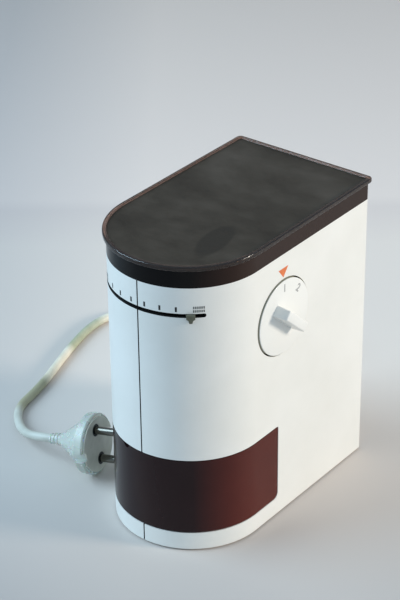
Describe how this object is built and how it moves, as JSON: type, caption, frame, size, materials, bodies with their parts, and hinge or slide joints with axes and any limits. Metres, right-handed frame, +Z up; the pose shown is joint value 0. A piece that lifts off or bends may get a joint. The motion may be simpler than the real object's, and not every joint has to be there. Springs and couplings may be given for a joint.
{
  "type": "electric coffee grinder",
  "caption": "Upright electric coffee grinder with a rounded front, smoked lid and hopper, disc burrs, geared motor, timer dial, fineness slider, wrap-around drawer and mains lead.",
  "frame": {"origin": "on the table, midway across the casing and midway along its depth", "axes": "+Z up, the rounded front with the drawer faces -Y, the dial is on the +X flank"},
  "size_m": [0.2344, 0.248, 0.1825],
  "materials": {
    "casing_white": "smooth glossy off-white",
    "smoked_plastic": "glossy near-black brown",
    "lid_plastic": "dusty satin dark brown",
    "drawer_burgundy": "glossy dark burgundy",
    "dial_white": "smooth white",
    "slider_olive": "satin grey olive",
    "black_plastic": "fine grained black",
    "grey_plastic": "moulded mid grey",
    "natural_nylon": "translucent cream nylon",
    "phenolic_brown": "pressed brown laminate",
    "burr_steel": "ground hardened steel",
    "bright_steel": "turned bright steel",
    "zinc_steel": "zinc plated",
    "iron_laminations": "stacked varnished sheets",
    "copper_wire": "enamelled copper wire",
    "bronze": "sintered bronze",
    "carbon": "pressed carbon",
    "cord_cream": "soft cream plastic sheath",
    "plug_clear": "cloudy translucent plastic",
    "plug_grey": "moulded dark grey",
    "pin_nickel": "nickel plated brass"
  },
  "bodies": {
    "casing": {"casing_right": "casing_white", "casing_left": "casing_white", "casing_screws": "zinc_steel", "base_plate": "black_plastic", "base_screws": "zinc_steel", "foot_ring": "grey_plastic", "drawer_shelf": "black_plastic", "hopper": "smoked_plastic", "motor_deck": "phenolic_brown", "gear_cover": "black_plastic", "burr_chamber": "black_plastic", "grounds_chute": "black_plastic", "spindle_bushes": "bronze", "stator_core": "iron_laminations", "field_coils": "copper_wire", "upper_bearing": "bronze", "lower_bearing": "bronze", "motor_bracket": "zinc_steel", "motor_spacers": "zinc_steel", "motor_screws": "zinc_steel", "brush_holders": "bronze", "carbon_brushes": "carbon", "timer_case": "phenolic_brown", "timer_switch": "black_plastic", "capacitor": "grey_plastic", "terminal_block": "black_plastic", "inner_lead": "cord_cream", "cord_clamp": "black_plastic", "strain_relief": "cord_cream", "cord_lead": "cord_cream", "cord_coil": "cord_cream", "cord_run": "cord_cream", "plug_body": "plug_clear", "plug_pins": "pin_nickel", "plug_face": "plug_grey"},
    "hopper_lid": {"lid": "lid_plastic"},
    "grounds_drawer": {"drawer": "drawer_burgundy"},
    "dial": {"timer_dial": "dial_white", "timer_shaft": "natural_nylon", "timer_cam": "natural_nylon"},
    "grind_ring": {"adjusting_ring": "black_plastic", "slider_tab": "slider_olive"},
    "burr_holder": {"burr_carrier": "natural_nylon", "upper_burr": "burr_steel", "upper_burr_screws": "zinc_steel"},
    "spindle": {"burr_spindle": "bright_steel", "spindle_clip": "zinc_steel", "burr_hub": "zinc_steel", "lower_burr": "burr_steel", "sweeper": "natural_nylon", "feed_screw": "natural_nylon", "drive_gear": "natural_nylon"},
    "rotor": {"motor_shaft": "bright_steel", "armature_core": "iron_laminations", "armature_windings": "copper_wire", "commutator": "copper_wire", "cooling_fan": "black_plastic", "motor_pinion": "bright_steel"}
  },
  "joints": [
    {"name": "lid_lift", "type": "slide", "parent": "casing", "child": "hopper_lid", "axis": [0, 0, 1], "range_m": [0, 0.04]},
    {"name": "drawer_pull", "type": "slide", "parent": "casing", "child": "grounds_drawer", "axis": [0, -1, 0], "range_m": [0, 0.075]},
    {"name": "dial_turn", "type": "hinge", "parent": "casing", "child": "dial", "pos_m": [0.045, -0.0063, 0.1305], "axis": [1, 0, 0], "range_deg": [-45, 225]},
    {"name": "grind_setting", "type": "hinge", "parent": "casing", "child": "grind_ring", "pos_m": [0, -0.0305, 0.1515], "axis": [0, 0, 1], "range_deg": [-83, 6]},
    {"name": "burr_height", "type": "slide", "parent": "grind_ring", "child": "burr_holder", "axis": [0, 0, 1], "range_m": [-0.00006, 0.0007]},
    {"name": "burr_spin", "type": "hinge", "parent": "casing", "child": "spindle", "pos_m": [0, -0.0305, 0.117], "axis": [0, 0, 1], "continuous": true},
    {"name": "motor_spin", "type": "hinge", "parent": "casing", "child": "rotor", "pos_m": [0, 0.0095, 0.08], "axis": [0, 0, 1], "continuous": true}
  ],
  "couplings": [
    {"joint": "burr_spin", "follows": "motor_spin", "ratio": -0.33333},
    {"joint": "burr_height", "follows": "grind_setting", "m_per_rad": -0.00047746}
  ]
}
